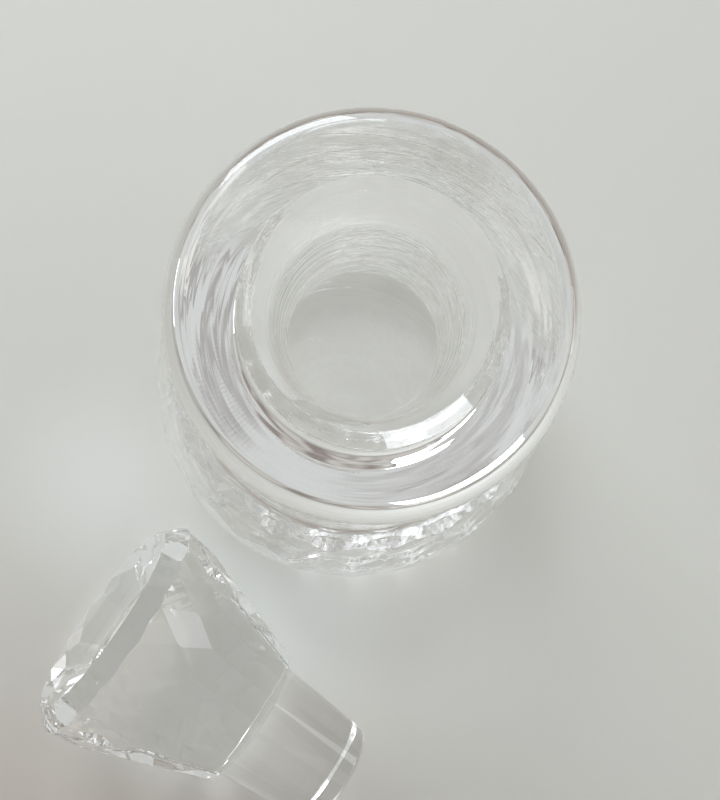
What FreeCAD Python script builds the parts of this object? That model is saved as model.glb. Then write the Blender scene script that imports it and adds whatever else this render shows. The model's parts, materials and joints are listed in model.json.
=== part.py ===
import FreeCAD, Part
import math
import os

from FreeCAD import Placement, Rotation, Vector

# Cut-glass decanter standing on a table, with its cut-glass stopper lying beside it.
# Millimetres. The origin is the middle of the decanter's base, and +Z runs up its axis.

# Decanter, driving dimensions
BODY_R = 51.0            # flat-to-axis radius at the widest place
WIDEST_Z = 50.0          # height of the widest place
BODY_HEIGHT = 133.0      # height at which the shoulder is level
SIDE_ROUND = 280.0       # radius of the long curve of the side
SHOULDER_ROUND = 16.0    # radius of the shoulder
HEEL_ROUND = 9.0         # radius of the edge at the base
BODY_WALL = 5.0          # glass at the middle of a facet
FLOOR = 11.0             # glass under the liquid
INNER_HEEL = 14.0        # radius inside, between floor and side
FOOT_WIDTH = 8.0         # ring that the decanter stands on
PUNT_DEPTH = 1.2         # shallow hollow polished into the base within that ring
NECK_LENGTH = 79.0       # from BODY_HEIGHT to the top of the lip
NECK_WALL = 5.2
NECK_ROOT_ROUND = 40.0   # long hollow curve from the neck to the shoulder
LIP_R = 35.0
LIP_THICKNESS = 8.0
LIP_SLOPE = 45.0         # slope of the lip's underside, which flares from the neck, degrees
LIP_ROOT_ROUND = 6.0     # hollow curve between the neck and that underside
MOUTH_R = 22.6           # edge at which the flat lip turns down into the mouth
MOUTH_ANGLE = 42.0       # slope of the mouth at that edge, degrees
SOCKET_DEPTH = 40.0      # from the top of the lip to the end of the taper
SOCKET_ANGLE = 4.5       # half angle of the tapered seat, degrees
THROAT_R = 15.0          # straight passage below the taper

# Facets of the decanter
SIDES = 20               # facets to a row
SHOULDER_ROWS = 2
SIDE_ROWS = 4
HEEL_ROWS = 2

# Stopper, driving dimensions
PEG_LENGTH = 33.0
PEG_CLEARANCE = 0.05     # all round, between the tapered peg and its seat
PEG_EDGE = 1.5           # rounded edge at the tip of the peg
SEAT_GAP = 2.0           # from the lip to the head's underside when the stopper is in
COLLAR = 3.0             # width of the ledge round the top of the peg
GIRDLE = 45.0            # from the head's underside to its widest place
CROWN_HEIGHT = 5.0       # from there to the flat top
CONE_ANGLE = 18.0        # slope of the long facets, degrees
GIRDLE_ANGLE = 8.0       # slope of the small facets that end at the girdle, degrees
HEAD_ROUND = 120.0       # radius of the curve that the small facets follow
CROWN_ANGLE = 45.0       # elevation that the bevel round the top faces, degrees

# Facets of the stopper
STOPPER_SIDES = 20
SMALL_ROWS = 2

# Where the stopper lies
STOPPER_GAP = 8.4        # from the body to the girdle's near corner
NEAR_BEARING = 221.0     # bearing of that corner from the decanter's axis, degrees
STOPPER_HEADING = -36.0  # bearing that the peg points to, degrees

# Working values
TOUCH = 1e-6             # points nearer than this are one point
OVERRUN = 2.0            # how far a joined or cut shape runs past the face that it meets
HEIGHT = BODY_HEIGHT + NECK_LENGTH
TAPER = math.tan(math.radians(SOCKET_ANGLE))
ORIGIN = Vector(0, 0, 0)
UP = Vector(0, 0, 1)


def point(r, z):
    """A point of an outline, which lies in the XZ plane."""
    return Vector(r, 0, z)


def arc(centre_r, centre_z, radius, start, end):
    """Arc of an outline. Angles in degrees: 0 points away from the axis and 90 up."""
    def at(angle):
        a = math.radians(angle)
        return point(centre_r + radius * math.cos(a), centre_z + radius * math.sin(a))
    return Part.Arc(at(start), at((start + end) / 2), at(end)).toShape()


def turned(*pieces):
    """Solid turned about Z from points and arcs in order, with straight lines between them."""
    spans = []
    for piece in pieces:
        if isinstance(piece, Vector):
            spans.append((piece, piece, []))
        else:
            spans.append((piece.firstVertex(True).Point, piece.lastVertex(True).Point, [piece]))
    edges = []
    for (_, end, curve), (following, _, _) in zip(spans, spans[1:] + spans[:1]):
        edges += curve
        if end.distanceToPoint(following) > TOUCH:
            edges.append(Part.makeLine(end, following))
    return Part.Face(Part.Wire(edges)).revolve(ORIGIN, UP, 360)


# Facets: a row is a ring of flat cuts that all face one elevation at one reach from the origin

def facing(elevation, bearing):
    """Unit vector at an elevation and a bearing, degrees."""
    e, b = math.radians(elevation), math.radians(bearing)
    return Vector(math.cos(e) * math.cos(b), math.cos(e) * math.sin(b), math.sin(e))


def touching(elevation, centre_r, centre_z, radius):
    """The row that touches a curve, or a point of radius 0, where it faces an elevation."""
    e = math.radians(elevation)
    return elevation, centre_r * math.cos(e) + centre_z * math.sin(e) + radius


def clipped(polygon, normal, reach):
    """The part of a convex polygon that lies within reach of the origin along a normal."""
    kept = []
    for a, b in zip(polygon, polygon[1:] + polygon[:1]):
        over_a = a.dot(normal) - reach
        over_b = b.dot(normal) - reach
        if over_a <= 0:
            kept.append(a)
        if over_a * over_b < 0:
            kept.append(a + (b - a) * (over_a / (over_a - over_b)))
    return kept


def facet(normal, reach, others, size):
    """Corners of what other planes leave of one plane. Size is larger than the whole solid."""
    side = normal.cross(UP if abs(normal.z) < 0.9 else Vector(1, 0, 0)).normalize()
    rise = normal.cross(side)
    polygon = [normal * reach + (side * a + rise * b) * size for a, b in ((1, 1), (-1, 1), (-1, -1), (1, -1))]
    for plane in others:
        polygon = clipped(polygon, *plane)
    return [a for a, b in zip(polygon, polygon[1:] + polygon[:1]) if a.distanceToPoint(b) > TOUCH]


def faceted(rows, sides, bottom, top, squared_row=0):
    """Convex solid between two level planes, cut by rows of flat facets.
    Every second row is turned by half a facet, so that the rows meet in zigzags.
    The squared row has a facet that faces straight along X."""
    pitch = 360.0 / sides
    rings = []
    for index, (elevation, reach) in enumerate(rows):
        half = 0.5 * ((index - squared_row) % 2)
        rings.append([(facing(elevation, pitch * (k + half)), reach) for k in range(sides)])
    ends = [(-UP, -bottom), (UP, top)]
    planes = [plane for ring in rings for plane in ring] + ends
    size = 4 * max(abs(reach) for _, reach in planes)
    faces = []
    for own in [ring[0] for ring in rings] + ends:
        corners = facet(*own, [plane for plane in planes if plane is not own], size)
        if len(corners) < 3:
            continue
        face = Part.Face(Part.makePolygon(corners + corners[:1]))
        copies = 1 if own in ends else sides
        faces += [face.rotated(ORIGIN, UP, pitch * k) for k in range(copies)]
    return Part.Solid(Part.Shell(faces))


# Decanter

def body_curves():
    """The body's outer curves, from the shoulder down: highest elevation, centre r, centre z and radius."""
    side_r = BODY_R - SIDE_ROUND

    def blended(centre_z, radius):
        """Elevation at which a smaller curve runs into the side, and the r of its centre."""
        run = SIDE_ROUND - radius
        join = math.asin((centre_z - WIDEST_Z) / run)
        return math.degrees(join), side_r + run * math.cos(join)
    shoulder_z = BODY_HEIGHT - SHOULDER_ROUND
    shoulder_join, shoulder_r = blended(shoulder_z, SHOULDER_ROUND)
    heel_join, heel_r = blended(HEEL_ROUND, HEEL_ROUND)
    return ((90.0, shoulder_r, shoulder_z, SHOULDER_ROUND),
            (shoulder_join, side_r, WIDEST_Z, SIDE_ROUND),
            (heel_join, heel_r, HEEL_ROUND, HEEL_ROUND))


def root_curve(neck_r, round_r, shoulder_radius):
    """Centre of the hollow curve from a neck to a shoulder, and the elevation where it meets the shoulder."""
    _, shoulder_r, shoulder_z, _ = body_curves()[0]
    across = neck_r + round_r - shoulder_r
    rise = math.sqrt((shoulder_radius + round_r) ** 2 - across ** 2)
    return neck_r + round_r, shoulder_z + rise, math.degrees(math.atan2(rise, across))


def body_rows():
    """Rows of facets on the shoulder, the side and the heel, evenly spread over each curve."""
    shoulder, side, heel = body_curves()
    neck_foot = root_curve(THROAT_R + NECK_WALL, NECK_ROOT_ROUND, SHOULDER_ROUND)[2]
    rows = []
    for count, high, low, curve in ((SHOULDER_ROWS, neck_foot, side[0], shoulder),
                                    (SIDE_ROWS, side[0], heel[0], side),
                                    (HEEL_ROWS, heel[0], -90.0, heel)):
        step = (high - low) / count
        rows += [touching(high - step * (k + 0.5), *curve[1:]) for k in range(count)]
    return rows


def mouth():
    """Centre and radius of the curve that leads from the edge of the lip smoothly into the tapered seat."""
    start, end = facing(90 + MOUTH_ANGLE, 0), facing(180 - SOCKET_ANGLE, 0)
    turn = end - start
    radius = (THROAT_R + SOCKET_DEPTH * TAPER - MOUTH_R) / (turn.x - turn.z * TAPER)
    return point(MOUTH_R, HEIGHT) - start * radius, radius


def lip_root(neck_foot, rim):
    """Centre of the hollow curve that touches both the tapered neck and the underside of the lip.
    It lies at a known reach along the normal of each."""
    edge = LIP_THICKNESS / 2
    neck_normal, under_normal = facing(-SOCKET_ANGLE, 0), facing(LIP_SLOPE - 90, 0)
    neck_reach = neck_normal.dot(neck_foot) + LIP_ROOT_ROUND
    under_reach = under_normal.dot(rim) + edge + LIP_ROOT_ROUND
    across = neck_normal.x * under_normal.z - neck_normal.z * under_normal.x
    return ((neck_reach * under_normal.z - under_reach * neck_normal.z) / across,
            (under_reach * neck_normal.x - neck_reach * under_normal.x) / across)


def neck_and_lip():
    """Solid neck with its flared lip. It runs down into the body."""
    neck_foot = point(THROAT_R + NECK_WALL, HEIGHT - SOCKET_DEPTH)
    root_r, root_z, root_elevation = root_curve(neck_foot.x, NECK_ROOT_ROUND, SHOULDER_ROUND)
    root = arc(root_r, root_z, NECK_ROOT_ROUND, 180 + root_elevation, 180)
    buried_z = BODY_HEIGHT - SHOULDER_ROUND
    edge = LIP_THICKNESS / 2
    rim = point(LIP_R - edge, HEIGHT - edge)
    return turned(
        point(0, HEIGHT),
        point(0, buried_z),
        point(root.firstVertex(True).Point.x, buried_z),
        root,
        neck_foot,
        arc(*lip_root(neck_foot, rim), LIP_ROOT_ROUND, 180 - SOCKET_ANGLE, 90 + LIP_SLOPE),
        arc(rim.x, rim.z, edge, LIP_SLOPE - 90, 90),
    )


def cavity():
    """The space inside: mouth, tapered seat, throat, shoulder, side and floor."""
    mouth_centre, mouth_round = mouth()
    _, shoulder_r, shoulder_z, _ = body_curves()[0]
    shoulder_join, side_r, _, _ = body_curves()[1]
    inner_shoulder = SHOULDER_ROUND - BODY_WALL
    inner_side = SIDE_ROUND - BODY_WALL
    flare = NECK_ROOT_ROUND + NECK_WALL
    flare_r, flare_z, flare_end = root_curve(THROAT_R, flare, inner_shoulder)
    heel_z = FLOOR + INNER_HEEL
    heel_run = inner_side - INNER_HEEL
    heel_join = math.asin((heel_z - WIDEST_Z) / heel_run)
    heel_r = side_r + heel_run * math.cos(heel_join)
    return turned(
        point(0, HEIGHT + OVERRUN),
        point(MOUTH_R, HEIGHT + OVERRUN),
        arc(mouth_centre.x, mouth_centre.z, mouth_round, 90 + MOUTH_ANGLE, 180 - SOCKET_ANGLE),
        point(THROAT_R, HEIGHT - SOCKET_DEPTH),
        arc(flare_r, flare_z, flare, 180, 180 + flare_end),
        arc(shoulder_r, shoulder_z, inner_shoulder, flare_end, shoulder_join),
        arc(side_r, WIDEST_Z, inner_side, shoulder_join, math.degrees(heel_join)),
        arc(heel_r, heel_z, INNER_HEEL, math.degrees(heel_join), -90),
        point(0, FLOOR),
    )


def punt():
    """The shallow hollow in the base, part of a large sphere."""
    _, heel_r, _, _ = body_curves()[2]
    rim_r = heel_r - FOOT_WIDTH
    radius = (rim_r ** 2 + PUNT_DEPTH ** 2) / (2 * PUNT_DEPTH)
    half = math.degrees(math.asin(rim_r / radius))
    return turned(arc(0, PUNT_DEPTH - radius, radius, 90, 90 - half), ORIGIN)


def decanter():
    buried_top = BODY_HEIGHT + SHOULDER_ROUND / 2
    body = faceted(body_rows(), SIDES, 0.0, buried_top)
    return body.fuse(neck_and_lip()).cut([cavity(), punt()])


# Stopper, first upright with the underside of its head at z = 0

def peg_radius(z):
    """Radius of the tapered peg at a height of the stopper, from the seat that it fits."""
    above_throat = SOCKET_DEPTH + SEAT_GAP + z
    return THROAT_R + above_throat * TAPER - PEG_CLEARANCE


def peg():
    tip_r = peg_radius(-PEG_LENGTH)
    edge = arc(tip_r - PEG_EDGE, PEG_EDGE - PEG_LENGTH, PEG_EDGE, -90, -SOCKET_ANGLE)
    return turned(point(0, -PEG_LENGTH), edge, point(peg_radius(OVERRUN), OVERRUN), point(0, OVERRUN))


def girdle_radius():
    """Flat-to-axis radius of the head's widest place, from its underside and its slopes."""
    cone, girdle = math.radians(CONE_ANGLE), math.radians(GIRDLE_ANGLE)
    curve_height = HEAD_ROUND * (math.sin(cone) - math.sin(girdle))
    curve_width = HEAD_ROUND * (math.cos(girdle) - math.cos(cone))
    return peg_radius(0) + COLLAR + (GIRDLE - curve_height) * math.tan(cone) + curve_width


def head_rows():
    """The long facets, the rows of small facets up to the girdle and the bevel round the top."""
    girdle_r, girdle = girdle_radius(), math.radians(GIRDLE_ANGLE)
    centre_r = girdle_r - HEAD_ROUND * math.cos(girdle)
    centre_z = GIRDLE + HEAD_ROUND * math.sin(girdle)
    step = (CONE_ANGLE - GIRDLE_ANGLE) / SMALL_ROWS
    slopes = [step * k - CONE_ANGLE for k in range(SMALL_ROWS + 1)]
    return ([touching(slope, centre_r, centre_z, HEAD_ROUND) for slope in slopes]
            + [touching(CROWN_ANGLE, girdle_r, GIRDLE, 0.0)])


def resting_tilt(head):
    """Angle between the axis and the table when the head and the tip of the peg both touch the table.
    The side that faces -X is turned down."""
    tip_z = PEG_EDGE - PEG_LENGTH
    tip_r = peg_radius(-PEG_LENGTH) - PEG_EDGE

    def tilt_at(corner):
        run, drop = corner.z - tip_z, -corner.x - tip_r
        return math.atan2(drop, run) - math.asin(PEG_EDGE / math.hypot(run, drop))
    return math.degrees(max(tilt_at(vertex.Point) for vertex in head.Vertexes))


def stopper():
    head = faceted(head_rows(), STOPPER_SIDES, 0.0, GIRDLE + CROWN_HEIGHT, squared_row=SMALL_ROWS)
    solid = head.fuse(peg())
    lay_down = Rotation(Vector(0, 1, 0), resting_tilt(head) - 90)
    turn_round = Rotation(UP, STOPPER_HEADING)
    solid.Placement = Placement(ORIGIN, turn_round.multiply(lay_down))
    near_corner = facing(0, NEAR_BEARING) * (BODY_R / math.cos(math.pi / SIDES) + STOPPER_GAP)
    corner_r = girdle_radius() / math.cos(math.pi / STOPPER_SIDES)
    middle = near_corner - facing(0, STOPPER_HEADING + 90) * corner_r
    turned_middle = solid.Placement.multVec(Vector(0, 0, GIRDLE))
    lowest = solid.optimalBoundingBox(False).ZMin
    solid.Placement.Base = Vector(middle.x - turned_middle.x, middle.y - turned_middle.y, -lowest)
    return solid


def main():
    os.makedirs("parts", exist_ok=True)
    for name, shape in (("decanter", decanter()), ("stopper", stopper())):
        shape.exportStep(f"parts/{name}.step")
        box = shape.optimalBoundingBox(False)
        print(f"{name}: {len(shape.Solids)} solid, valid {shape.isValid()}, {len(shape.Faces)} faces, "
              f"{shape.Volume / 1000:.1f} cm3, x {box.XMin:.2f} to {box.XMax:.2f}, "
              f"y {box.YMin:.2f} to {box.YMax:.2f}, z {box.ZMin:.3f} to {box.ZMax:.2f}")
    throat_end = root_curve(THROAT_R, NECK_ROOT_ROUND + NECK_WALL, SHOULDER_ROUND - BODY_WALL)[1]
    brimful = cavity().Volume - math.pi * MOUTH_R ** 2 * OVERRUN
    print(f"throat from z {throat_end:.2f} to {HEIGHT - SOCKET_DEPTH:.2f}, "
          f"girdle radius {girdle_radius():.2f}, holds {brimful / 1e6:.3f} litres to the brim")


main()
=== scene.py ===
# %% [markdown]
# # A cut-glass decanter with its stopper taken off
# A decanter is a bottle for the table. This one is clear, heavy glass. Flat facets are ground round its
# body, its neck is turned smooth, and a wide round lip makes pouring easy. The stopper that closes it is
# solid glass, and here it lies beside the body. The CAD solids give both pieces their real size and
# place. This script shapes them again with finer facets and rounder curves, because glass shows every
# flat step of a coarse mesh, and then gives them glass, light and a camera.

# %% Load the CAD frame
import json
import math

import bmesh
import bpy
from mathutils import Matrix, Vector

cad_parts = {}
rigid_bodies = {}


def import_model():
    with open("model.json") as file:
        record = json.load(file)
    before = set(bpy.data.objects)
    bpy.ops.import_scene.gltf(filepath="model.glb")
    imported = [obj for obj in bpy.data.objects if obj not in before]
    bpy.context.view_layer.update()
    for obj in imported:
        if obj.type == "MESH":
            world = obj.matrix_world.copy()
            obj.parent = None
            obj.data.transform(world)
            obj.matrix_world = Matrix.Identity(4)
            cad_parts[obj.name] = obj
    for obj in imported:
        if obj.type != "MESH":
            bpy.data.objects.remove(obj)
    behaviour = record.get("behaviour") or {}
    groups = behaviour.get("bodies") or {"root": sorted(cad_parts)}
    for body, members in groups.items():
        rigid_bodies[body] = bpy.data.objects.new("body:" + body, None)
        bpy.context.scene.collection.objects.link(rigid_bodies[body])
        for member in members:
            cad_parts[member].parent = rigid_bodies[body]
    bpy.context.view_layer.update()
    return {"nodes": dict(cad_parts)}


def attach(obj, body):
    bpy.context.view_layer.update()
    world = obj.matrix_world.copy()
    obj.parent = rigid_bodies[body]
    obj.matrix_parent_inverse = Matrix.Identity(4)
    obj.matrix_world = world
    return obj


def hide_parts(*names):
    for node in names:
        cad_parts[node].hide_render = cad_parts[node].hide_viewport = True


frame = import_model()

scene = bpy.context.scene
MM = 0.001
print("CAD nodes:", sorted(frame["nodes"]))

# %% [markdown]
# ## Camera
# The picture is taken from above with a short telephoto lens, almost straight down into the neck. The
# camera's place was worked out from the picture: the round lip, the round throat far below it and the
# body's outline are circles of known size, and only one place shows all of them where they are. A camera
# that looks down has no natural upright, so its sides are built from the direction of view and from +Y,
# which points to the top of the picture.

# %% Camera at the photograph's viewpoint
PICTURE_HEIGHT = 800
FOCAL_PIXELS = 1440.0    # focal length in pixels of the picture
SENSOR = 36.0            # millimetres along the picture's long side
CAMERA_PLACE = Vector((-9.1, -30.3, 446.3)) * MM
CAMERA_AIM = Vector((0.0297, 0.0672, -0.9973))    # direction of view
NEAREST = 0.01           # metres, closer things aren't drawn

camera = bpy.data.cameras.new("camera")
camera.sensor_width = SENSOR
camera.lens = SENSOR * FOCAL_PIXELS / PICTURE_HEIGHT
camera.clip_start = NEAREST
viewpoint = bpy.data.objects.new("camera", camera)
right = CAMERA_AIM.cross(Vector((0, 1, 0))).normalized()
upright = right.cross(CAMERA_AIM).normalized()
turn = Matrix((right, upright, -CAMERA_AIM.normalized())).transposed()
viewpoint.matrix_world = Matrix.Translation(CAMERA_PLACE) @ turn.to_4x4()
scene.collection.objects.link(viewpoint)
scene.camera = viewpoint
print("camera lens:", round(camera.lens, 1), "mm, height above the table:", round(CAMERA_PLACE.z, 3), "m")

# %% [markdown]
# ## Three small helpers for materials
# Colours are written as the hex values that a picture editor shows. Blender calculates with linear light,
# so one function turns hex into linear colour. The second adds a node, sets its properties and fills its
# sockets, either with a value or with a link from another node's output. The third empties a node tree,
# because a new material or world comes with nodes of its own.

# %% Colour and node helpers
def colour(code):
    """Linear colour with alpha from an sRGB hex code such as "c8c8c3"."""
    parts = [int(code[i:i + 2], 16) / 255 for i in (0, 2, 4)]
    return [p / 12.92 if p <= 0.04045 else ((p + 0.055) / 1.055) ** 2.4 for p in parts] + [1.0]


def add_node(tree, kind, inputs=None, **settings):
    """Adds a node. An input is a plain value or the output socket of another node."""
    node = tree.nodes.new(kind)
    for name, value in settings.items():
        setattr(node, name, value)
    for name, value in (inputs or {}).items():
        if isinstance(value, bpy.types.NodeSocket):
            tree.links.new(value, node.inputs[name])
        else:
            node.inputs[name].default_value = value
    return node


def empty_tree(owner):
    """The owner's node tree with nothing in it."""
    owner.use_nodes = True
    owner.node_tree.nodes.clear()
    return owner.node_tree


print("middle grey in linear light:", [round(c, 3) for c in colour("808080")[:3]])

# %% [markdown]
# ## The shape of the decanter
# All sizes are in millimetres and are the same as in the CAD part. The side of the body is one long curve,
# with a rounder shoulder above it and a rounder heel below it. The facets touch these curves, so the
# curves are worked out first: each is a centre and a radius, and it runs into its neighbour without a
# corner.

# %% Sizes and curves of the decanter
BODY_R = 51.0            # from the axis to a flat at the widest place
WIDEST_Z = 50.0          # height of the widest place
BODY_HEIGHT = 133.0      # height at which the shoulder is level
SIDE_ROUND = 280.0       # radius of the long curve of the side
SHOULDER_ROUND = 16.0    # radius of the shoulder
HEEL_ROUND = 9.0         # radius of the edge at the base
BODY_WALL = 5.0          # glass at the middle of a facet
FLOOR = 11.0             # glass under the liquid
INNER_HEEL = 14.0        # radius inside, between floor and side
FOOT_WIDTH = 8.0         # ring that the decanter stands on
PUNT_DEPTH = 1.2         # shallow hollow in the base within that ring
NECK_LENGTH = 79.0       # from BODY_HEIGHT to the top of the lip
NECK_WALL = 5.2
NECK_ROOT_ROUND = 40.0   # long hollow curve from the neck to the shoulder
LIP_R = 35.0
LIP_THICKNESS = 8.0
LIP_SLOPE = 45.0         # slope of the lip's underside, degrees
LIP_ROOT_ROUND = 6.0     # hollow curve between the neck and that underside
MOUTH_R = 22.6           # edge at which the flat lip turns down into the mouth
MOUTH_ANGLE = 42.0       # slope of the mouth at that edge, degrees
SOCKET_DEPTH = 40.0      # from the top of the lip to the end of the taper
SOCKET_ANGLE = 4.5       # half angle of the tapered seat, degrees
THROAT_R = 15.0          # straight passage below the taper
SIDES = 20               # facets to a row
SHOULDER_ROWS = 2
SIDE_ROWS = 4
HEEL_ROWS = 2
HEIGHT = BODY_HEIGHT + NECK_LENGTH
TAPER = math.tan(math.radians(SOCKET_ANGLE))
SIDE_CENTRE_R = BODY_R - SIDE_ROUND


def blended(centre_z, radius, side_round=SIDE_ROUND):
    """Elevation at which a smaller curve runs into the side, and the r of its centre."""
    run = side_round - radius
    join = math.asin((centre_z - WIDEST_Z) / run)
    return math.degrees(join), SIDE_CENTRE_R + run * math.cos(join)


SHOULDER_Z = BODY_HEIGHT - SHOULDER_ROUND
shoulder_join, shoulder_r = blended(SHOULDER_Z, SHOULDER_ROUND)
heel_join, heel_r = blended(HEEL_ROUND, HEEL_ROUND)


def root_curve(neck_r, round_r, shoulder_radius):
    """Centre of the hollow curve from a neck to a shoulder, and the elevation where it meets the shoulder."""
    across = neck_r + round_r - shoulder_r
    rise = math.sqrt((shoulder_radius + round_r) ** 2 - across ** 2)
    return neck_r + round_r, SHOULDER_Z + rise, math.degrees(math.atan2(rise, across))


FOOT_OF_NECK_R = THROAT_R + NECK_WALL
root_r, root_z, root_elevation = root_curve(FOOT_OF_NECK_R, NECK_ROOT_ROUND, SHOULDER_ROUND)
print("shoulder meets the side at", round(shoulder_join, 1), "degrees, the neck at", round(root_elevation, 1))

# %% [markdown]
# ## Rings in the socket
# The tapered socket for the stopper is ground on a turning machine, and that leaves fine rings, each at one
# height. They could be cut into the mesh, but they are thinner than a hair. So a noise that changes only
# with height drives a bump. The bump has to stay inside the neck: the radius minus what the taper adds is
# smaller on the inside of the neck than on its outside, and the rings fade out in between.

# %% Rings in the ground socket
RING_SPACING = 3.0       # millimetres between rings, coarser than real ones so that they show
RING_DEPTH = 0.5         # millimetres, before the strength scales it down
RINGS_FULL = 4.5         # millimetres outside the line of the seat up to which rings show fully
RINGS_GONE = 5.0         # millimetres outside that line from where on none show


def socket_rings(tree, place, normal, strength):
    """The normal with rings round the axis added to it, inside the socket only."""
    height = add_node(tree, "ShaderNodeSeparateXYZ", {"Vector": place}).outputs["Z"]
    turning = add_node(tree, "ShaderNodeTexNoise",
                       {"W": height, "Scale": 1 / (RING_SPACING * MM), "Detail": 2.0},
                       noise_dimensions="1D")
    flat = add_node(tree, "ShaderNodeVectorMath", {0: place, 1: (1, 1, 0)}, operation="MULTIPLY")
    radius = add_node(tree, "ShaderNodeVectorMath", {0: flat.outputs["Vector"]}, operation="LENGTH")
    outward = add_node(tree, "ShaderNodeMath", {0: height, 1: -TAPER, 2: radius.outputs["Value"]},
                       operation="MULTIPLY_ADD")
    seat_line = THROAT_R - (HEIGHT - SOCKET_DEPTH) * TAPER
    shown = add_node(tree, "ShaderNodeMapRange",
                     {"Value": outward.outputs["Value"], "From Min": (seat_line + RINGS_FULL) * MM,
                      "From Max": (seat_line + RINGS_GONE) * MM, "To Min": strength, "To Max": 0.0})
    ringed = add_node(tree, "ShaderNodeBump",
                      {"Height": turning.outputs["Fac"], "Normal": normal,
                       "Strength": shown.outputs["Result"], "Distance": RING_DEPTH * MM})
    return ringed.outputs["Normal"]


print("rings in the socket: about", round(SOCKET_DEPTH / RING_SPACING), "in", SOCKET_DEPTH, "mm")

# %% [markdown]
# ## Glass
# The real material is most likely crystal, a clear glass that bends light a little more than window glass:
# its index of refraction is about 1.54. The facets are ground and then polished, and the neck is turned
# and fire-polished. The eye sees bright glints, the table bent into bands and, in the socket, fine circles.
# A Glass shader would do, but the Principled shader with full transmission is the one that other programs
# read. A very slight bump stands for the soft waviness of polished glass, and a trace of roughness for
# places that were wiped.

# %% Crystal glass
CRYSTAL_IOR = 1.54
WAVE_WIDTH = 16.0        # millimetres across one soft wave in the polish
WAVE_DEPTH = 0.5         # millimetres, before the strength scales it down
WAVE_STRENGTH = 0.003
WIPED_WIDTH = 30.0       # millimetres across one wiped patch
WIPED_ROUGHNESS = 0.01


def crystal(name, rings):
    """Polished crystal. Rings is how strongly the rings in the socket show."""
    material = bpy.data.materials.new(name)
    tree = empty_tree(material)
    place = add_node(tree, "ShaderNodeTexCoord").outputs["Object"]
    wiped = add_node(tree, "ShaderNodeTexNoise",
                     {"Vector": place, "Scale": 1 / (WIPED_WIDTH * MM), "Detail": 3.0})
    roughness = add_node(tree, "ShaderNodeMapRange",
                         {"Value": wiped.outputs["Fac"], "From Min": 0.35, "From Max": 0.75,
                          "To Min": 0.0, "To Max": WIPED_ROUGHNESS})
    wave = add_node(tree, "ShaderNodeTexNoise",
                    {"Vector": place, "Scale": 1 / (WAVE_WIDTH * MM), "Detail": 1.0})
    soft = add_node(tree, "ShaderNodeBump",
                    {"Height": wave.outputs["Fac"], "Strength": WAVE_STRENGTH, "Distance": WAVE_DEPTH * MM})
    normal = soft.outputs["Normal"]
    if rings:
        normal = socket_rings(tree, place, normal, rings)
    glass = add_node(tree, "ShaderNodeBsdfPrincipled",
                     {"Base Color": colour("ffffff"), "Roughness": roughness.outputs["Result"],
                      "IOR": CRYSTAL_IOR, "Transmission Weight": 1.0, "Normal": normal})
    add_node(tree, "ShaderNodeOutputMaterial", {"Surface": glass.outputs["BSDF"]})
    return material


decanter_glass = crystal("polished_crystal_turned", rings=0.25)
stopper_glass = crystal("polished_crystal_cut", rings=0.0)
print("glass materials:", decanter_glass.name, stopper_glass.name)

# %% [markdown]
# ## Cutting facets
# A glass cutter holds the blank against a turning wheel and grinds one flat after another. The same works
# here: a blank starts as a plain cylinder, and Blender's bisect tool cuts a plane through it, throws away
# the outside and leaves an open rim that one new face closes. A row is a ring of such planes that all face
# the same height. Every second row is turned by half a facet, so the rows meet in zigzags. At the end a
# hair-thin bevel stands for the polished ridges, which catch light as fine lines.

# %% Facet helpers
RIDGE = 0.14             # width of a polished ridge, millimetres
CUT_TOUCH = 0.001        # millimetres within which a point counts as lying on a cut
CUT_MERGE = 0.02         # millimetres within which corners of facets become one


def facing(elevation, bearing):
    """Unit vector at an elevation and a bearing, degrees."""
    up = math.radians(elevation)
    about = math.radians(bearing)
    return Vector((math.cos(up) * math.cos(about), math.cos(up) * math.sin(about), math.sin(up)))


def touching(elevation, centre_r, centre_z, radius):
    """The row of planes that touch a curve where it faces an elevation."""
    up = math.radians(elevation)
    return elevation, centre_r * math.cos(up) + centre_z * math.sin(up) + radius


def cut_blank(rows, sides, bottom, top, squared_row=0):
    """A cylinder between two heights with rows of flat facets ground on it."""
    bm = bmesh.new()
    reach = 2 * max(abs(row[1]) for row in rows)
    bmesh.ops.create_cone(bm, cap_ends=True, segments=sides, radius1=reach, radius2=reach, depth=top - bottom,
                          matrix=Matrix.Translation((0, 0, (top + bottom) / 2)))
    pitch = 360 / sides
    for index, (elevation, distance) in enumerate(rows):
        half = 0.5 * ((index - squared_row) % 2)
        for k in range(sides):
            normal = facing(elevation, pitch * (k + half))
            cut = bmesh.ops.bisect_plane(bm, geom=bm.verts[:] + bm.edges[:] + bm.faces[:], dist=CUT_TOUCH,
                                         plane_co=normal * distance, plane_no=normal, clear_outer=True)
            rim = [part for part in cut["geom_cut"] if isinstance(part, bmesh.types.BMEdge)]
            if len(rim) > 2:
                bmesh.ops.contextual_create(bm, geom=rim)
    bmesh.ops.remove_doubles(bm, verts=bm.verts, dist=CUT_MERGE)
    bmesh.ops.recalc_face_normals(bm, faces=bm.faces)
    return bm


def polish_ridges(bm):
    """Rounds the edges between facets a little."""
    bmesh.ops.bevel(bm, geom=bm.edges[:], offset=RIDGE / 2, offset_type="OFFSET", affect="EDGES", segments=2,
                    profile=0.5, material=-1, clamp_overlap=True)


def to_object(bm, name, smooth):
    """A bmesh as an object in the scene, with all its faces shaded smooth or flat."""
    for face in bm.faces:
        face.smooth = smooth
    mesh = bpy.data.meshes.new(name)
    bm.to_mesh(mesh)
    bm.free()
    item = bpy.data.objects.new(name, mesh)
    scene.collection.objects.link(item)
    return item


print("a plane that faces 30 degrees up:", [round(c, 3) for c in facing(30, 0)])

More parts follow.
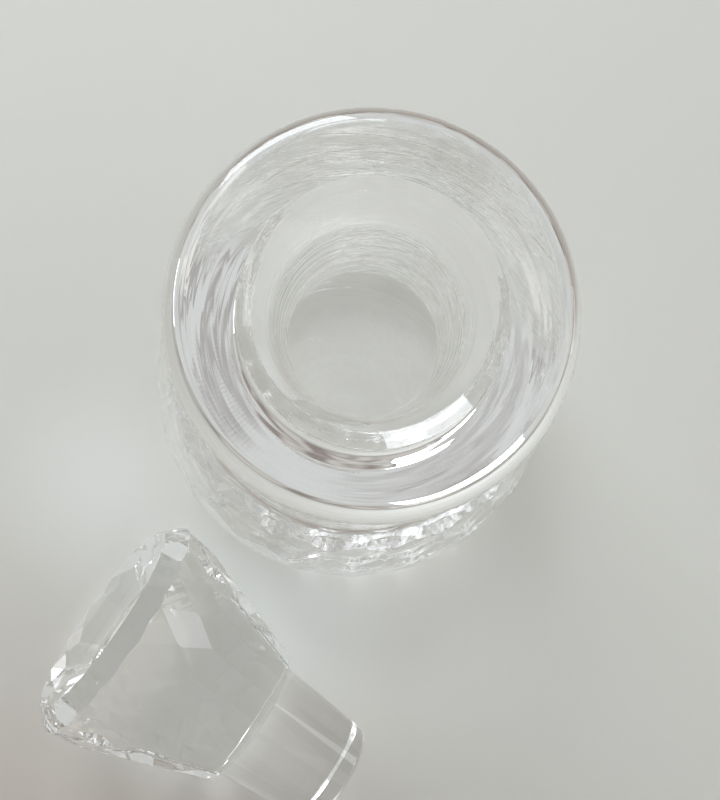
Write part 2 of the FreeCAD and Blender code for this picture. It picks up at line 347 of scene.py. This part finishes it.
# %% [markdown]
# ## The faceted body
# The body has two rows of facets on its shoulder, four on its side and two on its heel. Each row touches its
# curve in the middle of the row's share of the turn, so no row has an angle of its own to keep up to date.
# The blank ends inside the shoulder, where the neck covers it.

# %% Faceted body
stretches = (
    (SHOULDER_ROWS, root_elevation, shoulder_join, (shoulder_r, SHOULDER_Z, SHOULDER_ROUND)),
    (SIDE_ROWS, shoulder_join, heel_join, (SIDE_CENTRE_R, WIDEST_Z, SIDE_ROUND)),
    (HEEL_ROWS, heel_join, -90.0, (heel_r, HEEL_ROUND, HEEL_ROUND)),
)
body_rows = []
for count, high, low, curve in stretches:
    step = (high - low) / count
    body_rows += [touching(high - step * (k + 0.5), *curve) for k in range(count)]
buried_top = BODY_HEIGHT + SHOULDER_ROUND / 2
body_blank = cut_blank(body_rows, SIDES, 0.0, buried_top)
print("facets on the body:", len(body_blank.faces) - 2, "in", len(body_rows), "rows")
polish_ridges(body_blank)
body = to_object(body_blank, "decanter_glass", smooth=False)

# %% [markdown]
# ## Turning round shapes
# The neck, the lip, the hollow inside and the stopper's peg are round. Each is drawn as half an outline
# and spun about the axis, as on a lathe. The outline itself is drawn with the same tools: a vertex is
# extruded for a straight stroke and spun about a centre for an arc. A straight stroke gets a short piece at
# both of its ends. Smooth shading bends the light over the edge between two faces, and the short pieces keep
# that bend next to the arcs, so that the flat lip stays optically flat.

# %% Outline and lathe helpers
ROUND_STEPS = 240        # flat faces round the axis
ARC_STEP = 4.0           # degrees of an arc between two points of an outline
EASE = 0.25              # length of the short piece at each end of a straight stroke, millimetres
LARGEST_EASE = 0.3       # largest share of a stroke that one short piece may take
TURNED_MERGE = 0.002     # millimetres within which points of a turned shape become one


def straight(bm, pen, r, z):
    """Draws a straight stroke from the pen's vertex and returns the new end."""
    start = pen.co.copy()
    end = Vector((r, 0, z))
    length = (end - start).length
    ease = min(EASE / length, LARGEST_EASE)
    for share in (ease, 1 - ease, 1):
        pen = bmesh.ops.extrude_vert_indiv(bm, verts=[pen])["verts"][0]
        pen.co = start.lerp(end, share)
    return pen


def arc(bm, pen, centre_r, centre_z, turn):
    """Draws an arc of a number of degrees round a centre and returns the new end."""
    swept = bmesh.ops.spin(bm, geom=[pen], cent=(centre_r, 0, centre_z), axis=(0, -1, 0),
                           angle=math.radians(turn), steps=max(2, math.ceil(abs(turn) / ARC_STEP)))
    return next(part for part in swept["geom_last"] if isinstance(part, bmesh.types.BMVert))


def lathe(start, strokes):
    """Spins an outline into a closed solid. Strokes of two numbers are straight, those of three are arcs."""
    bm = bmesh.new()
    pen = bm.verts.new((start[0], 0, start[1]))
    for stroke in strokes:
        draw = straight if len(stroke) == 2 else arc
        pen = draw(bm, pen, *stroke)
    bmesh.ops.spin(bm, geom=bm.verts[:] + bm.edges[:], cent=(0, 0, 0), axis=(0, 0, 1), angle=2 * math.pi,
                   steps=ROUND_STEPS, use_merge=True)
    bmesh.ops.remove_doubles(bm, verts=bm.verts, dist=TURNED_MERGE)
    bmesh.ops.recalc_face_normals(bm, faces=bm.faces)
    return bm


print("points on a quarter of a circle:", math.ceil(90 / ARC_STEP) + 1)

# %% [markdown]
# ## Neck and lip
# The neck rises from the shoulder in one long hollow curve and widens with the taper of the socket inside
# it. The lip has a flat top, a round rim and an underside that flares at 45 degrees. That slope is why one
# half of the lip looks clear from above and the other half mirrors the room: glass mirrors light that meets
# its far side at more than about 40 degrees. The edge of the mouth is crisp on top and rounds off into the
# socket. Its centre follows from the lip's height, the mouth's radius and the line of the socket.

# %% Neck and lip
mouth_start = facing(90 + MOUTH_ANGLE, 0).xz
mouth_turn = facing(180 - SOCKET_ANGLE, 0).xz - mouth_start
mouth_round = (THROAT_R + SOCKET_DEPTH * TAPER - MOUTH_R) / (mouth_turn.x - mouth_turn.y * TAPER)
mouth = Vector((MOUTH_R, HEIGHT)) - mouth_start * mouth_round
lip_edge = LIP_THICKNESS / 2
rim = Vector((LIP_R - lip_edge, HEIGHT - lip_edge))
neck_foot = Vector((FOOT_OF_NECK_R, HEIGHT - SOCKET_DEPTH))
neck_normal = facing(-SOCKET_ANGLE, 0).xz
under_normal = facing(LIP_SLOPE - 90, 0).xz
reaches = Vector((neck_normal.dot(neck_foot), under_normal.dot(rim) + lip_edge))
reaches += Vector((LIP_ROOT_ROUND, LIP_ROOT_ROUND))
lip_root = Matrix((neck_normal, under_normal)).inverted() @ reaches
neck_end = lip_root - neck_normal * LIP_ROOT_ROUND
under_end = rim + under_normal * lip_edge
root_start = Vector((root_r, root_z)) - NECK_ROOT_ROUND * facing(root_elevation, 0).xz
neck_bm = lathe((0, SHOULDER_Z), [
    (root_start.x, SHOULDER_Z),
    (root_start.x, root_start.y),
    (root_r, root_z, -root_elevation),
    (neck_foot.x, neck_foot.y),
    (neck_end.x, neck_end.y),
    (lip_root.x, lip_root.y, SOCKET_ANGLE + LIP_SLOPE - 90),
    (under_end.x, under_end.y),
    (rim.x, rim.y, 180 - LIP_SLOPE),
    (0, HEIGHT),
])
widest = max(vertex.co.x for vertex in neck_bm.verts)
print("neck and lip faces:", len(neck_bm.faces), "lip radius:", round(widest, 2), "mm")
neck = to_object(neck_bm, "neck", smooth=True)

# %% [markdown]
# ## The hollow
# The inside follows the outside at an even wall, with a thick floor, which gives a decanter its weight. It is
# drawn as a solid that starts above the lip, because a cut that ends level with a face leaves stray
# slivers. Under the base, a shallow hollow leaves only a ring to stand on, so that it doesn't rock.

# %% The hollow inside and the shallow hollow under the base
ABOVE_LIP = 2.0          # how far the hollow's solid runs past the lip
BELOW_BASE = 1.0         # and the punt's solid past the base
flare = NECK_ROOT_ROUND + NECK_WALL
flare_r, flare_z, flare_end = root_curve(THROAT_R, flare, SHOULDER_ROUND - BODY_WALL)
inner_heel_z = FLOOR + INNER_HEEL
inner_heel_join, inner_heel_r = blended(inner_heel_z, INNER_HEEL, SIDE_ROUND - BODY_WALL)
hollow_bm = lathe((0, HEIGHT + ABOVE_LIP), [
    (MOUTH_R, HEIGHT + ABOVE_LIP),
    (MOUTH_R, HEIGHT),
    (mouth.x, mouth.y, 90 - SOCKET_ANGLE - MOUTH_ANGLE),
    (THROAT_R, HEIGHT - SOCKET_DEPTH),
    (THROAT_R, flare_z),
    (flare_r, flare_z, flare_end),
    (shoulder_r, SHOULDER_Z, shoulder_join - flare_end),
    (SIDE_CENTRE_R, WIDEST_Z, inner_heel_join - shoulder_join),
    (inner_heel_r, inner_heel_z, -90 - inner_heel_join),
    (0, FLOOR),
])
hollow = to_object(hollow_bm, "hollow", smooth=True)
punt_r = heel_r - FOOT_WIDTH
punt_round = (punt_r ** 2 + PUNT_DEPTH ** 2) / (2 * PUNT_DEPTH)
punt_half = math.degrees(math.asin(punt_r / punt_round))
punt_bm = lathe((0, -BELOW_BASE), [
    (punt_r, -BELOW_BASE),
    (punt_r, 0.0),
    (0, PUNT_DEPTH - punt_round, punt_half),
])
punt = to_object(punt_bm, "punt", smooth=True)
print("hollow starts", FLOOR, "mm above the table, throat radius", THROAT_R, "mm")

# %% [markdown]
# ## Joining glass to glass
# On the real decanter all of this is one piece of glass, so it has to be one closed mesh: where two
# surfaces overlapped inside the glass, light would bend on a wall that isn't there. The Boolean modifier
# joins the neck to the body and then takes the hollow out. It is applied at once, and the helper shapes
# are removed. Smooth shading would round the crisp edge of the mouth and the ridges of the facets, so every
# edge with a larger turn than a turned surface has is marked as sharp.

# %% Boolean helper and the finished decanter
CREASE = math.radians(12)    # faces that meet at a larger angle keep a crisp edge between them


def combine(base, operation, tool):
    """Changes the base by a Boolean operation with a tool, which is then deleted."""
    change = base.modifiers.new("combine", "BOOLEAN")
    change.operation = operation
    change.solver = "MANIFOLD"
    change.object = tool
    result = base.evaluated_get(bpy.context.evaluated_depsgraph_get())
    mesh = bpy.data.meshes.new_from_object(result)
    base.modifiers.clear()
    base.data = mesh
    bpy.data.objects.remove(tool)


def finish_glass(item, material, place):
    """Moves the mesh to its place in metres, gives it its glass and prints whether it is closed."""
    bm = bmesh.new()
    bm.from_mesh(item.data)
    bmesh.ops.transform(bm, matrix=Matrix.Scale(MM, 4) @ place, verts=bm.verts)
    for edge in bm.edges:
        edge.smooth = edge.calc_face_angle(0.0) < CREASE
    open_edges = sum(len(edge.link_faces) != 2 for edge in bm.edges)
    triangles = sum(len(face.verts) - 2 for face in bm.faces)
    bm.to_mesh(item.data)
    bm.free()
    item.data.materials.clear()
    item.data.materials.append(material)
    print(item.name, "triangles:", triangles, "open edges:", open_edges)


combine(body, "UNION", neck)
combine(body, "DIFFERENCE", hollow)
combine(body, "DIFFERENCE", punt)
finish_glass(body, decanter_glass, Matrix.Identity(4))

# %% [markdown]
# ## The stopper
# The stopper is one solid lump of the same glass. Its head is a cut cone: long facets run up from the
# peg, two rows of small ones end at the widest place, and a bevel leads to the flat top. The peg tapers
# with the seat in the neck. It is cut upright, with the underside of the head at height 0, and laid down
# afterwards.

# %% Cut and turn the stopper
PEG_LENGTH = 33.0
PEG_CLEARANCE = 0.05     # all round, between the tapered peg and its seat
PEG_EDGE = 1.5           # rounded edge at the tip of the peg
PEG_OVERLAP = 2.0        # how far the peg runs into the head before the two are joined
SEAT_GAP = 2.0           # from the lip to the head's underside when the stopper is in
COLLAR = 3.0             # width of the ledge round the top of the peg
GIRDLE = 45.0            # from the head's underside to its widest place
CROWN_HEIGHT = 5.0       # from there to the flat top
CONE_ANGLE = 18.0        # slope of the long facets, degrees
GIRDLE_ANGLE = 8.0       # slope of the small facets that end at the girdle, degrees
CROWN_ANGLE = 45.0       # elevation that the bevel round the top faces, degrees
HEAD_ROUND = 120.0       # radius of the curve that the small facets follow
STOPPER_SIDES = 20
SMALL_ROWS = 2


def peg_radius(z):
    """Radius of the peg at a height of the stopper, from the seat that it fits."""
    return THROAT_R + (SOCKET_DEPTH + SEAT_GAP + z) * TAPER - PEG_CLEARANCE


cone = math.radians(CONE_ANGLE)
girdle = math.radians(GIRDLE_ANGLE)
curve_height = HEAD_ROUND * (math.sin(cone) - math.sin(girdle))
curve_width = HEAD_ROUND * (math.cos(girdle) - math.cos(cone))
girdle_r = peg_radius(0) + COLLAR + (GIRDLE - curve_height) * math.tan(cone) + curve_width
small_step = (CONE_ANGLE - GIRDLE_ANGLE) / SMALL_ROWS
head_curve = (girdle_r - HEAD_ROUND * math.cos(girdle), GIRDLE + HEAD_ROUND * math.sin(girdle), HEAD_ROUND)
head_rows = [touching(small_step * k - CONE_ANGLE, *head_curve) for k in range(SMALL_ROWS + 1)]
head_rows.append(touching(CROWN_ANGLE, girdle_r, GIRDLE, 0.0))
head_bm = cut_blank(head_rows, STOPPER_SIDES, 0.0, GIRDLE + CROWN_HEIGHT, squared_row=SMALL_ROWS)
head_corners = [vertex.co.copy() for vertex in head_bm.verts]
print("facets on the stopper:", len(head_bm.faces) - 2, "girdle radius:", round(girdle_r, 2), "mm")
polish_ridges(head_bm)
head = to_object(head_bm, "stopper_glass", smooth=False)
tip_r = peg_radius(-PEG_LENGTH)
peg_top_r = peg_radius(PEG_OVERLAP)
peg_bm = lathe((0, -PEG_LENGTH), [
    (tip_r - PEG_EDGE, -PEG_LENGTH),
    (tip_r - PEG_EDGE, PEG_EDGE - PEG_LENGTH, 90 - SOCKET_ANGLE),
    (peg_top_r, PEG_OVERLAP),
    (0, PEG_OVERLAP),
])
combine(head, "UNION", to_object(peg_bm, "peg", smooth=True))

# %% [markdown]
# ## Laying the stopper down
# A loose stopper rolls until it rests on two places: a flat of its widest row and the tip of its peg. The
# angle of its axis follows from the line that touches both. Then it is turned to the bearing in the
# picture, moved beside the body and set down so that its lowest point is on the table.

# %% Place of the stopper
STOPPER_GAP = 8.4        # millimetres from the body to the girdle's near corner
NEAR_BEARING = 221.0     # bearing of that corner from the decanter's axis, degrees
STOPPER_HEADING = -36.0  # bearing that the peg points to, degrees


def tilt_at(corner):
    """Angle of the axis when the peg's rounded tip and this corner of the head both touch the table."""
    run = corner.z - (PEG_EDGE - PEG_LENGTH)
    drop = -corner.x - (tip_r - PEG_EDGE)
    return math.atan2(drop, run) - math.asin(PEG_EDGE / math.hypot(run, drop))


tilt = max(tilt_at(corner) for corner in head_corners)
heading = Matrix.Rotation(math.radians(STOPPER_HEADING), 4, "Z")
lying = heading @ Matrix.Rotation(tilt - math.pi / 2, 4, "Y")
near_corner = facing(0, NEAR_BEARING) * (BODY_R / math.cos(math.pi / SIDES) + STOPPER_GAP)
middle = near_corner - facing(0, STOPPER_HEADING + 90) * girdle_r / math.cos(math.pi / STOPPER_SIDES)
shift = middle - lying @ Vector((0, 0, GIRDLE))
shift.z = -min((lying @ vertex.co).z for vertex in head.data.vertices)
finish_glass(head, stopper_glass, Matrix.Translation(shift) @ lying)
print("stopper lies at", round(math.degrees(tilt), 2), "degrees to the table")

# %% [markdown]
# ## Table
# The table is plain, pale and matt, like painted wood. Shade falls on it towards the lower left, and that
# shade is painted
# into its colour: it gets a little warmer and darker there, running from one tone to another along a line. A
# faint mottle keeps it from being perfectly even. Glass also gathers light and throws it on the table.
# Tracing that light takes very many samples, so a few soft pale spots of light are painted where it falls.

# %% Table
TABLE_SIZE = 6.0         # metres
AIR_GAP = 0.2            # millimetres between the table and the glass, which touches it at a few points
# Painted shade: the table's colour gets darker and warmer away from this bearing, towards the lower left.
PALE_BEARING = 62        # degrees, the direction in which the table gets paler
DARK_UNTIL = -210.0      # millimetres along that direction
PALE_FROM = -45.0
MOTTLE_WIDTH = 111.0     # millimetres across one patch of the mottle
PALE_SPOTS = (           # x, y and spread in millimetres, and how strong the spot is
    (-78, -28, 42, 0.25),
    (-20, -66, 46, 0.5),
    (-46, -56, 30, 0.25),
    (-50, -86, 44, 0.3),
)

table_bm = bmesh.new()
bmesh.ops.create_grid(table_bm, x_segments=1, y_segments=1, size=TABLE_SIZE / 2,
                      matrix=Matrix.Translation((0, 0, -AIR_GAP * MM)))
table = to_object(table_bm, "table", smooth=False)
matt = bpy.data.materials.new("matt_table_painted_shade_and_light")
tree = empty_tree(matt)
place = add_node(tree, "ShaderNodeTexCoord").outputs["Object"]
along = add_node(tree, "ShaderNodeVectorMath", {0: place, 1: facing(0, PALE_BEARING)},
                 operation="DOT_PRODUCT")
ramp = add_node(tree, "ShaderNodeMapRange",
                {"Value": along.outputs["Value"], "From Min": DARK_UNTIL * MM, "From Max": PALE_FROM * MM},
                interpolation_type="SMOOTHSTEP")
# Painted shade: b4aaa2 is the shaded tone at the lower left and cecdc8 the lit tone.
base = add_node(tree, "ShaderNodeMix",
                {"Factor": ramp.outputs["Result"], "A": colour("b4aaa2"), "B": colour("cecdc8")},
                data_type="RGBA")
mottle = add_node(tree, "ShaderNodeTexNoise",
                  {"Vector": place, "Scale": 1 / (MOTTLE_WIDTH * MM), "Detail": 2.0})
mottled = add_node(tree, "ShaderNodeMapRange",
                   {"Value": mottle.outputs["Fac"], "From Min": 0.4, "From Max": 0.7, "To Max": 0.12})
# The mottle is the table's own uneven tone, mixed into the painted shade.
painted_shade_and_mottle = add_node(tree, "ShaderNodeMix",
                 {"Factor": mottled.outputs["Result"], "A": base.outputs["Result"], "B": colour("cdcbc5")},
                 data_type="RGBA")
tone = painted_shade_and_mottle.outputs["Result"]
for spot_x, spot_y, spread, strength in PALE_SPOTS:
    middle_of_spot = (spot_x * MM, spot_y * MM, 0)
    away = add_node(tree, "ShaderNodeVectorMath", {0: place, 1: middle_of_spot}, operation="DISTANCE")
    fade = add_node(tree, "ShaderNodeMapRange",
                    {"Value": away.outputs["Value"], "From Min": 0.0, "From Max": spread * MM,
                     "To Min": strength, "To Max": 0.0},
                    interpolation_type="SMOOTHSTEP")
    lit = add_node(tree, "ShaderNodeMix",
                   {"Factor": fade.outputs["Result"], "A": tone, "B": colour("eef2f2")}, data_type="RGBA")
    tone = lit.outputs["Result"]
surface = add_node(tree, "ShaderNodeBsdfPrincipled",
                   {"Base Color": tone, "Roughness": 0.75, "Specular IOR Level": 0.2})
add_node(tree, "ShaderNodeOutputMaterial", {"Surface": surface.outputs["BSDF"]})
table.data.materials.append(matt)
print("table:", table.name, TABLE_SIZE, "m wide, pale spots:", len(PALE_SPOTS))

# %% [markdown]
# ## Room
# Clear glass has no colour of its own: it shows the room. So the room matters. Its walls are a plain pale
# grey. Warmer, darker things stand near the horizon and draw the edges of the glass. Overhead there are
# faint grey patches, which the lip mirrors. All of it is one world shader. How steeply a direction rises
# chooses between the three zones, and noise places the things and the patches.

# %% Room
THINGS_TOP = 0.20        # rise of a direction, from 0 at the horizon to 1 overhead
WALLS_FROM = 0.40
WALLS_TOP = 0.90
CEILING_FROM = 0.96
THING_DENSITY = 4.5      # scale of the noise: a larger one gives more and smaller things
PATCH_DENSITY = 18.0

world = bpy.data.worlds.new("room")
scene.world = world
tree = empty_tree(world)
direction = add_node(tree, "ShaderNodeTexCoord").outputs["Generated"]
rise = add_node(tree, "ShaderNodeSeparateXYZ", {"Vector": direction}).outputs["Z"]
things = add_node(tree, "ShaderNodeTexNoise", {"Vector": direction, "Scale": THING_DENSITY, "Detail": 1.0})
thing_tone = add_node(tree, "ShaderNodeMapRange",
                      {"Value": things.outputs["Fac"], "From Min": 0.46, "From Max": 0.58})
low = add_node(tree, "ShaderNodeMix",
               {"Factor": thing_tone.outputs["Result"], "A": colour("c6c2bc"), "B": colour("857a74")},
               data_type="RGBA")
from_horizon = add_node(tree, "ShaderNodeMapRange",
                        {"Value": rise, "From Min": THINGS_TOP, "From Max": WALLS_FROM})
walls = add_node(tree, "ShaderNodeMix",
                 {"Factor": from_horizon.outputs["Result"], "A": low.outputs["Result"],
                  "B": colour("cfd2d0")}, data_type="RGBA")
patches = add_node(tree, "ShaderNodeTexNoise", {"Vector": direction, "Scale": PATCH_DENSITY, "Detail": 1.0})
patch_tone = add_node(tree, "ShaderNodeMapRange",
                      {"Value": patches.outputs["Fac"], "From Min": 0.42, "From Max": 0.58})
ceiling = add_node(tree, "ShaderNodeMix",
                   {"Factor": patch_tone.outputs["Result"], "A": colour("a9a7a5"), "B": colour("d3d6d5")},
                   data_type="RGBA")
overhead = add_node(tree, "ShaderNodeMapRange",
                    {"Value": rise, "From Min": WALLS_TOP, "From Max": CEILING_FROM})
tones = add_node(tree, "ShaderNodeMix",
                 {"Factor": overhead.outputs["Result"], "A": walls.outputs["Result"],
                  "B": ceiling.outputs["Result"]}, data_type="RGBA")
room = add_node(tree, "ShaderNodeBackground", {"Color": tones.outputs["Result"], "Strength": 1.0})
add_node(tree, "ShaderNodeOutputWorld", {"Surface": room.outputs["Background"]})
print("room nodes:", len(tree.nodes))

# %% [markdown]
# ## Windows
# A window of cool daylight beyond the top left of the picture gives the glints on the lip and the facets. A
# smaller, weaker one at the right adds thin glints on the left of the lip, and a large, warm, weak lamp
# softens the shadows. They are area lamps, because the size of a window decides how wide its glints are.
# A ray crosses many glass walls before it leaves the decanter, and one that ends inside is black, so many
# bounces are allowed.

# %% Windows and bounces
LAMP_AIM = Vector((0, 0, 0.1))    # metres, near the middle of the decanter
BOUNCES = 40


def window(name, towards, distance, width, height, power, tint):
    """A rectangular lamp at a direction from the decanter's middle, turned to face it."""
    lamp = bpy.data.lights.new(name, "AREA")
    lamp.shape = "RECTANGLE"
    lamp.size = width
    lamp.size_y = height
    lamp.energy = power
    lamp.color = colour(tint)[:3]
    item = bpy.data.objects.new(name, lamp)
    item.location = LAMP_AIM + towards * distance
    item.rotation_euler = towards.to_track_quat("Z", "Y").to_euler()
    scene.collection.objects.link(item)


window("window", facing(30, 112), distance=0.95, width=0.55, height=0.45, power=6.0, tint="f4f9ff")
window("side_window", facing(15, 5), distance=1.1, width=0.35, height=0.25, power=0.7, tint="f0f6ff")
window("fill", facing(55, -20), distance=1.4, width=0.9, height=0.9, power=1.2, tint="fffaf4")
scene.view_settings.view_transform = "Standard"
scene.cycles.max_bounces = BOUNCES
scene.cycles.transmission_bounces = BOUNCES
scene.cycles.glossy_bounces = BOUNCES
scene.cycles.blur_glossy = 0.0

# %% [markdown]
# ## Handing the pieces to the frame
# Each new piece stands for its CAD solid and rides on the same body, so the stopper lifts as the motion
# model says.

# %% Ride and replace
for piece, node in ((body, "decanter"), (head, "stopper")):
    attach(piece, node)
    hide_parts(node)
